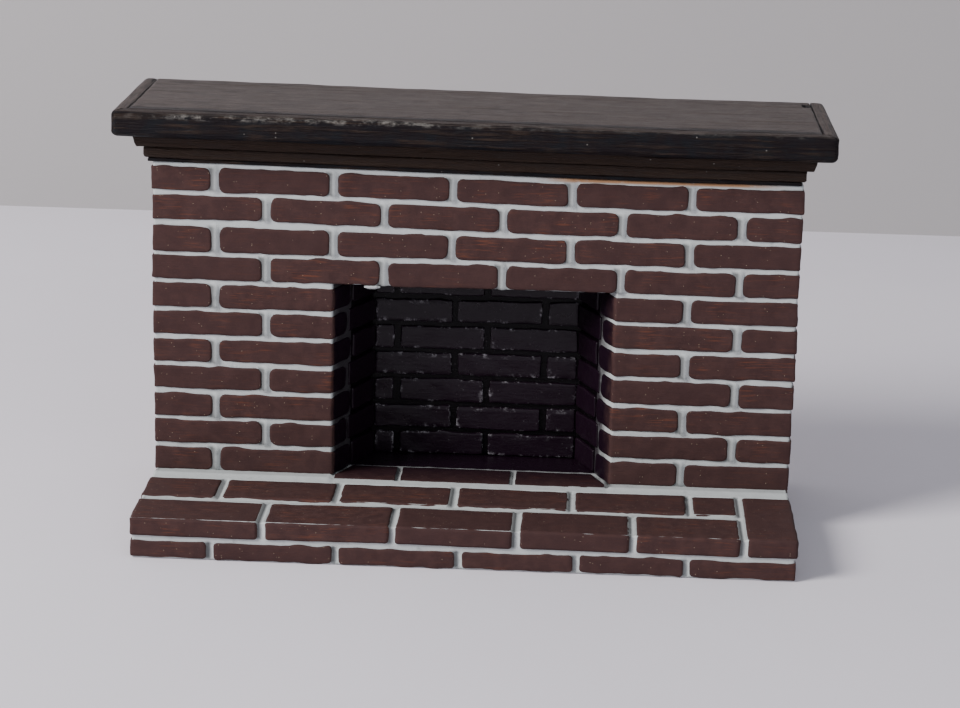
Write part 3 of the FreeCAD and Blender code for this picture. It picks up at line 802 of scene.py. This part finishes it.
class FIREPLACE_OT_mortar(bpy.types.Operator):
    """Fill the joints of the wall and the hearth with pale mortar"""
    bl_idname = "fireplace.mortar"
    bl_label = "Mortar"

    def execute(self, context):
        self.wall(context.scene.fireplace_mortar)
        self.hearth(context.scene.fireplace_mortar)
        self.dab()
        return {"FINISHED"}

    def wall(self, settings):
        """One sheet over the front, both sides and the first part of each cheek."""
        low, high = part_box("wall_mortar")
        relief = low.y - FACE_Y
        boxes = brick_boxes(COURSES)
        bm = bmesh.new()
        wall_sheet(bm, [(low.x, high.y), (low.x, low.y), (high.x, low.y), (high.x, high.y)],
                   OPENING_TOP, high.z)
        for side in (-1, 1):
            jamb, along, into = cheek_line(side, relief)
            outer = low.x if side < 0 else high.x
            corner = jamb + along * (relief / along.y) + into
            corner.y = low.y
            end = jamb + along * GREY_REACH + into
            plan = [(outer, high.y), (outer, low.y), tuple(corner), tuple(end)]
            wall_sheet(bm, plan if side < 0 else plan[::-1], low.z, OPENING_TOP)
        cut_grid(bm, (settings.step, settings.step * 1.2, settings.step * 1.4))

        def groove_of(co):
            if co.y < low.y + 0.05 * MM:
                return face_joint(co, boxes, 0, WALL_JOINT)
            if abs(co.x - WALL_MIDDLE) > high.x - WALL_MIDDLE - 0.3 * MM:
                return face_joint(co, boxes, 1, WALL_JOINT)
            return 0.0, 0.0

        weather_mortar(bm, groove_of, settings.groove)
        for vert in bm.verts:
            vert.co.z += row_lift(vert.co)
        thicken(finish_piece(bm, "wall_joints", mortar_material(), ["wall_mortar"]))

    def dab(self):
        """A small pale dab that hangs under the lintel."""
        bm = bmesh.new()
        bmesh.ops.create_icosphere(bm, subdivisions=4, radius=1.0)
        place = Vector((OPENING_LEFT + 9.0 * MM, FACE_Y + 0.8 * MM, OPENING_TOP - 0.5 * MM))
        shape = Matrix.Translation(place) @ Matrix.Diagonal((1.9 * MM, 0.8 * MM, 0.55 * MM, 1))
        for vert in bm.verts:
            vert.co *= 1 + 0.16 * noise.noise(vert.co * 2.3)
        bmesh.ops.transform(bm, matrix=shape, verts=bm.verts)
        finish_piece(bm, "pale_dab", mortar_material(), [])

    def hearth(self, settings):
        """One slab with its joints sunk and a fillet up to the foot of the wall."""
        low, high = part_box("hearth_mortar")
        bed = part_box("firebox_floor")[1].z
        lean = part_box("hearth_lower_course")[0].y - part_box("hearth_nosing_course")[0].y
        inside_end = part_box("hearth_inner_course")[1].y + 1.3 * MM
        boxes = brick_boxes((*HEARTH_COURSES, "hearth_lower_course", "plinth_side_course"))
        bm = self.slab(settings.step, low, Vector((high.x, high.y, bed)), inside_end)
        self.shape_slab(bm, low, high, bed, lean, inside_end)
        self.sink_under_bricks(bm, boxes, bed)

        def groove_of(co):
            if co.z > bed - 0.1 * MM:
                return top_joint(co, boxes, HEARTH_JOINT)
            if co.y < low.y + lean + 0.1 * MM:
                return face_joint(co, boxes, 0, HEARTH_JOINT)
            return 0.0, 0.0

        weather_mortar(bm, groove_of, settings.groove * 0.8)
        # This mortar darkens towards the wall and into the opening.
        grey = mortar_material("Grey hearth mortar", -2 * MM, 18 * MM, 0.0, -1.0)
        finish_piece(bm, "hearth_joints", grey, ["hearth_mortar"])

    def slab(self, step, low, high, inside_end):
        """A block with mesh lines close together where it shows and wide apart behind."""
        bm = bmesh.new()
        bmesh.ops.create_cube(bm, size=1.0)
        place = Matrix.Translation((low + high) / 2) @ Matrix.Diagonal((*(high - low), 1))
        bmesh.ops.transform(bm, matrix=place, verts=bm.verts)
        cut_grid(bm, (step * 1.15, None, step * 1.3))
        for k in range(1, int((inside_end - low.y) / step / 1.2)):
            cut_at(bm, 1, low.y + k * step * 1.2)
        for k in range(1, 12):
            cut_at(bm, 1, inside_end + (high.y - inside_end) * k / 12)
        return bm

    def shape_slab(self, bm, low, high, bed, lean, inside_end):
        """Sets the slab back under the nosing and runs it up against the wall."""
        nosing_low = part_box("hearth_nosing_course")[0].z
        foot_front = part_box("hearth_top_course")[1].y
        span = (high.x - low.x) / 2
        for vert in bm.verts:
            co = vert.co
            co.y = min(co.y, high.y - 0.4 * MM)
            if co.z < nosing_low - 0.1 * MM:
                co.x = WALL_MIDDLE + (co.x - WALL_MIDDLE) * (1 - lean / span)
                co.y = max(co.y, low.y + lean)
            outside = co.x < OPENING_LEFT + 0.2 * MM or co.x > OPENING_RIGHT - 0.2 * MM
            if co.z > bed - 0.05 * MM and outside and foot_front < co.y < FACE_Y + 1.0 * MM:
                climb = smoothstep((co.y - foot_front) / (FACE_Y - foot_front))
                co.z += climb * (high.z - bed)
            if co.z > bed - 0.05 * MM and co.y > inside_end - 0.1 * MM:
                co.z -= 0.25 * MM

    def sink_under_bricks(self, bm, boxes, bed):
        """Keeps the mortar below the bricks that lie on it."""
        margin = 0.45 * MM
        top_boxes = [(a, b) for a, b in boxes if b.z > HEARTH_TOP - 0.1 * MM]
        for vert in bm.verts:
            co = vert.co
            covered = any(a.x + margin < co.x < b.x - margin and a.y + margin < co.y < b.y - margin
                          for a, b in top_boxes)
            if co.z > bed - 0.1 * MM and covered:
                co.z -= BRICK_SINK


def thicken(piece):
    """Gives a sheet its thickness, away from the face that shows."""
    if sum(face.normal.y * face.area for face in piece.data.polygons) > 0:
        piece.data.flip_normals()
    solid = piece.modifiers.new("thickness", "SOLIDIFY")
    solid.thickness = SKIN
    solid.offset = -1.0


def use_material(node, material):
    """Puts a material on every slot of a carried-over node."""
    for index in range(len(node.material_slots)):
        node.material_slots[index].material = material
    if not node.material_slots:
        node.data.materials.append(material)


class FIREPLACE_OT_shelf(bpy.types.Operator):
    """Shape the mantel shelf: stained mouldings, edging and the let-in top board"""
    bl_idname = "fireplace.shelf"
    bl_label = "Mantel shelf"

    def execute(self, context):
        settings = context.scene.fireplace_shelf
        low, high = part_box("cap_edging_front")
        along_x = (0.05, 1.0, 1.0)
        along_y = (1.0, 0.05, 1.0)
        run = shelf_material("Stained shelf", along_x, (low.y + 0.5 * MM, high.z))
        ends = shelf_material("Stained shelf ends", along_y, dusty=0.8)
        # The mouldings get a much stronger brown grain: painted light that lifts them out of the
        # shadow under the cap.
        low_run = shelf_material("Stained moulding", along_x, dusty=0.4, gain=3.4)
        low_ends = shelf_material("Stained moulding ends", along_y, dusty=0.4, gain=3.4)
        for tier in ("cap_edging", "middle_moulding", "bed_moulding"):
            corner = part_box(tier + "_front")
            radius = settings.corner if tier == "cap_edging" else settings.corner * 0.6
            for side in ("front", "left", "right"):
                name = "%s_%s" % (tier, side)
                pair = (run, ends) if tier == "cap_edging" else (low_run, low_ends)
                self.moulding(name, settings, corner, radius, pair[side != "front"],
                              int(side != "front"))
        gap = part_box("shelf_top_board")[0].y
        # The top board's front edge gets a band of painted shade.
        board = shelf_material("Stained top board", along_x, dusty=0.88, groove=gap, shine=0.26)
        self.moulding("shelf_top_board", settings, None, 0, board, 0)
        self.moulding("shelf_bed_strip", settings, None, 0, run, 0)
        use_material(NODES["shelf_core"], run)
        return {"FINISHED"}

    def moulding(self, name, settings, tier, radius, material, run_axis):
        """One length of wood with raised grain; a tier's outer corners are rounded."""
        bm = cad_copy(name)
        if tier is None:
            bevel(bm, sharp_edges(bm, 40), 0.3 * MM, 3)
        cut_grid(bm, (settings.step, settings.step, settings.step * 0.8))
        if name == "shelf_top_board":
            self.fit_board(bm)
        if tier is not None:
            for side in (-1, 1):
                edge = tier[1].x if side > 0 else tier[0].x
                for k in range(1, 5):
                    cut_at(bm, 0, edge - side * radius * k / 4)
            for k in range(1, 5):
                cut_at(bm, 1, tier[0].y + radius * k / 4)
                cut_at(bm, 2, tier[0].z + radius * k / 5)
                cut_at(bm, 2, tier[1].z - radius * k / 5)
            self.round_corners(bm, tier, radius)
        scale = Vector((0.06, 1.3, 1.3)) if run_axis == 0 else Vector((1.3, 0.06, 1.3))
        bm.normal_update()
        for vert in bm.verts:
            here = vert.co / MM
            stretched = Vector([here[i] * scale[i] for i in range(3)])
            grain = noise.noise(stretched) + 0.5 * noise.noise(stretched * 2.7)
            dent = noise.noise(here * 0.12)
            vert.co += vert.normal * (grain * settings.relief - abs(dent) * 0.06 * MM)
            vert.co.z += shelf_lift(vert.co.x)
        finish_piece(bm, "stained_" + name, material, [name])

    def fit_board(self, bm):
        """Fits the board tight at its ends, with a small chip near the back right corner."""
        high = extent(bm.verts)[1]
        chip = Vector((high.x - 0.9 * MM, high.y - 4.5 * MM))
        for k in range(-4, 5):
            cut_at(bm, 0, chip.x + 0.3 * MM * k)
            cut_at(bm, 1, chip.y + 0.6 * MM * k)
        for vert in bm.verts:
            away = Vector(((vert.co.x - chip.x) / 1.2, (vert.co.y - chip.y) / 2.4)).length / MM
            if vert.co.z > high.z - 0.4 * MM:
                vert.co.z -= 1.2 * MM * smoothstep(1.6 - 1.6 * away)
            if abs(vert.co.x) > high.x - 0.1 * MM:
                vert.co.x += math.copysign(0.2 * MM, vert.co.x)

    def round_corners(self, bm, tier, radius):
        """Rounds the outer edges that the mitred pieces of one tier share."""
        low, high = tier
        middle = (low + high) / 2
        for vert in bm.verts:
            side = 1 if vert.co.x > 0 else -1
            rise = 1 if vert.co.z > middle.z else -1
            top = (high.z - low.z) / 2 - radius * 0.8
            out = Vector((max(side * vert.co.x - (high.x - radius), 0.0),
                          max((low.y + radius) - vert.co.y, 0.0),
                          max(rise * (vert.co.z - middle.z) - top, 0.0) / 0.8))
            if sum(part > 0 for part in out) < 2 or out.length <= radius:
                continue
            held = out * (radius / out.length)
            if out.x > 0:
                vert.co.x = side * (high.x - radius + held.x)
            if out.y > 0:
                vert.co.y = low.y + radius - held.y
            if out.z > 0:
                vert.co.z = middle.z + rise * (top + held.z * 0.8)


class FIREPLACE_OT_carcass(bpy.types.Operator):
    """Finish the wooden blocks and the back board"""
    bl_idname = "fireplace.carcass"
    bl_label = "Carcass"

    def execute(self, context):
        block = bare_wood_material("Bare block", rgba((0.46, 0.32, 0.18)), rgba((0.33, 0.21, 0.11)))
        board = bare_wood_material("Back board", rgba((0.34, 0.24, 0.16)), rgba((0.22, 0.15, 0.10)))
        for name in ("hearth_block", "pier_block_left", "pier_block_right"):
            use_material(NODES[name], block)
        use_material(NODES["back_board"], board)
        use_material(NODES["lintel_block"], soot_and_glint_material())
        return {"FINISHED"}


class FIREPLACE_OT_stage(bpy.types.Operator):
    """Set the cloth, the backdrop, the soft lights and the camera"""
    bl_idname = "fireplace.stage"
    bl_label = "Stage"

    def execute(self, context):
        self.cloth()
        self.backdrop()
        self.lights()
        self.camera()
        return {"FINISHED"}

    def sheet(self, name, low, high, place, body, shade, scale):
        """A flat stage sheet with a faintly mottled finish."""
        bm = bmesh.new()
        bmesh.ops.create_grid(bm, x_segments=2, y_segments=2, size=0.5)
        size = Matrix.Diagonal((high[0] - low[0], high[1] - low[1], 1, 1))
        bmesh.ops.transform(bm, matrix=place @ size, verts=bm.verts)
        mesh = bpy.data.meshes.new(name)
        bm.to_mesh(mesh)
        bm.free()
        material, nodes, shader, coords = new_material(name)
        soft = nodes.noise(coords, scale, 4.0, 0.6)
        nodes.link(nodes.mix(soft, rgba(body), rgba(shade)), shader.inputs["Base Color"])
        nodes.link(nodes.math("MULTIPLY_ADD", soft, 0.1, 0.85), shader.inputs["Roughness"])
        shader.inputs["Specular IOR Level"].default_value = 0.1
        add_bump(nodes, shader, nodes.noise(coords, 1500.0, 3.0), 0.15, 0.1 * MM)
        mesh.materials.append(material)
        piece = bpy.data.objects.new(name, mesh)
        bpy.context.scene.collection.objects.link(piece)
        return material

    def cloth(self):
        self.sheet("cloth", (-1.5, -1.5), (1.5, 1.5), Matrix.Identity(4),
                   (0.74, 0.71, 0.77), (0.66, 0.63, 0.69), 6.0)

    def backdrop(self):
        """A wall behind the piece that is clear from its back."""
        stand = Matrix.Translation((0, 0.32, 0.6)) @ Matrix.Rotation(math.radians(90), 4, "X")
        wall = self.sheet("backdrop", (-1.5, -0.62), (1.5, 0.62), stand,
                          (0.40, 0.385, 0.39), (0.36, 0.345, 0.35), 2.0)
        nodes = Nodes(wall.node_tree)
        clear = nodes.add("ShaderNodeBsdfTransparent").outputs[0]
        back = nodes.add("ShaderNodeNewGeometry").outputs["Backfacing"]
        choice = nodes.add("ShaderNodeMixShader")
        nodes.link(back, choice.inputs[0])
        nodes.link(wall.node_tree.nodes["Principled BSDF"].outputs[0], choice.inputs[1])
        nodes.link(clear, choice.inputs[2])
        nodes.link(choice.outputs[0], wall.node_tree.nodes["Material Output"].inputs["Surface"])

    def area(self, name, place, aim, size, energy, tint):
        light = bpy.data.lights.new(name, "AREA")
        light.shape = "DISK"
        light.size = size
        light.energy = energy
        light.color = tint
        lamp = bpy.data.objects.new(name, light)
        lamp.location = place
        lamp.rotation_euler = (Vector(aim) - Vector(place)).to_track_quat("-Z", "Y").to_euler()
        bpy.context.scene.collection.objects.link(lamp)

    def lights(self):
        world = bpy.data.worlds.new("Soft room")
        world.use_nodes = True
        back = world.node_tree.nodes["Background"]
        back.inputs["Color"].default_value = (0.80, 0.84, 0.90, 1)
        back.inputs["Strength"].default_value = 0.55
        bpy.context.scene.world = world
        self.area("window", (-1.0, -0.62, 0.80), (0, 0, 0.05), 0.6, 30.0, (1.0, 0.97, 0.95))
        self.area("fill", (0.5, -1.1, 0.6), (0, 0, 0.05), 0.9, 3.5, (0.93, 0.95, 1.0))

    def camera(self):
        lens = bpy.data.cameras.new("camera")
        lens.lens = CAMERA_LENS
        lens.sensor_width = 36.0
        lens.dof.use_dof = False
        eye = bpy.data.objects.new("camera", lens)
        eye.location = CAMERA_PLACE
        eye.rotation_euler = Euler([math.radians(angle) for angle in CAMERA_DEGREES])
        bpy.context.scene.collection.objects.link(eye)
        bpy.context.scene.camera = eye


class FIREPLACE_PT_panel(bpy.types.Panel):
    """Lists the steps that make the fireplace"""
    bl_idname = "FIREPLACE_PT_panel"
    bl_label = "Miniature fireplace"
    bl_space_type = "VIEW_3D"
    bl_region_type = "UI"
    bl_category = "Fireplace"

    def draw(self, context):
        for group in SETTINGS:
            box = self.layout.box()
            box.label(text=group.__doc__)
            settings = getattr(context.scene, SETTINGS[group])
            for name in group.__annotations__:
                box.prop(settings, name)
        for step in STEPS:
            self.layout.operator(step.bl_idname)


SETTINGS = {
    BrickSettings: "fireplace_bricks",
    MortarSettings: "fireplace_mortar",
    FireboxSettings: "fireplace_firebox",
    ShelfSettings: "fireplace_shelf",
}
STEPS = (
    FIREPLACE_OT_wall_bricks,
    FIREPLACE_OT_hearth_bricks,
    FIREPLACE_OT_firebox,
    FIREPLACE_OT_mortar,
    FIREPLACE_OT_shelf,
    FIREPLACE_OT_carcass,
    FIREPLACE_OT_stage,
)


def register():
    for group, name in SETTINGS.items():
        bpy.utils.register_class(group)
        setattr(bpy.types.Scene, name, PointerProperty(type=group))
    for step in STEPS:
        bpy.utils.register_class(step)
    bpy.utils.register_class(FIREPLACE_PT_panel)


def unregister():
    bpy.utils.unregister_class(FIREPLACE_PT_panel)
    for step in reversed(STEPS):
        bpy.utils.unregister_class(step)
    for group, name in SETTINGS.items():
        delattr(bpy.types.Scene, name)
        bpy.utils.unregister_class(group)


def main():
    noise.seed_set(NOISE_SEED)
    register()
    bpy.ops.fireplace.wall_bricks()
    bpy.ops.fireplace.hearth_bricks()
    bpy.ops.fireplace.firebox()
    bpy.ops.fireplace.mortar()
    bpy.ops.fireplace.shelf()
    bpy.ops.fireplace.carcass()
    bpy.ops.fireplace.stage()


if __name__ == "__main__":
    main()
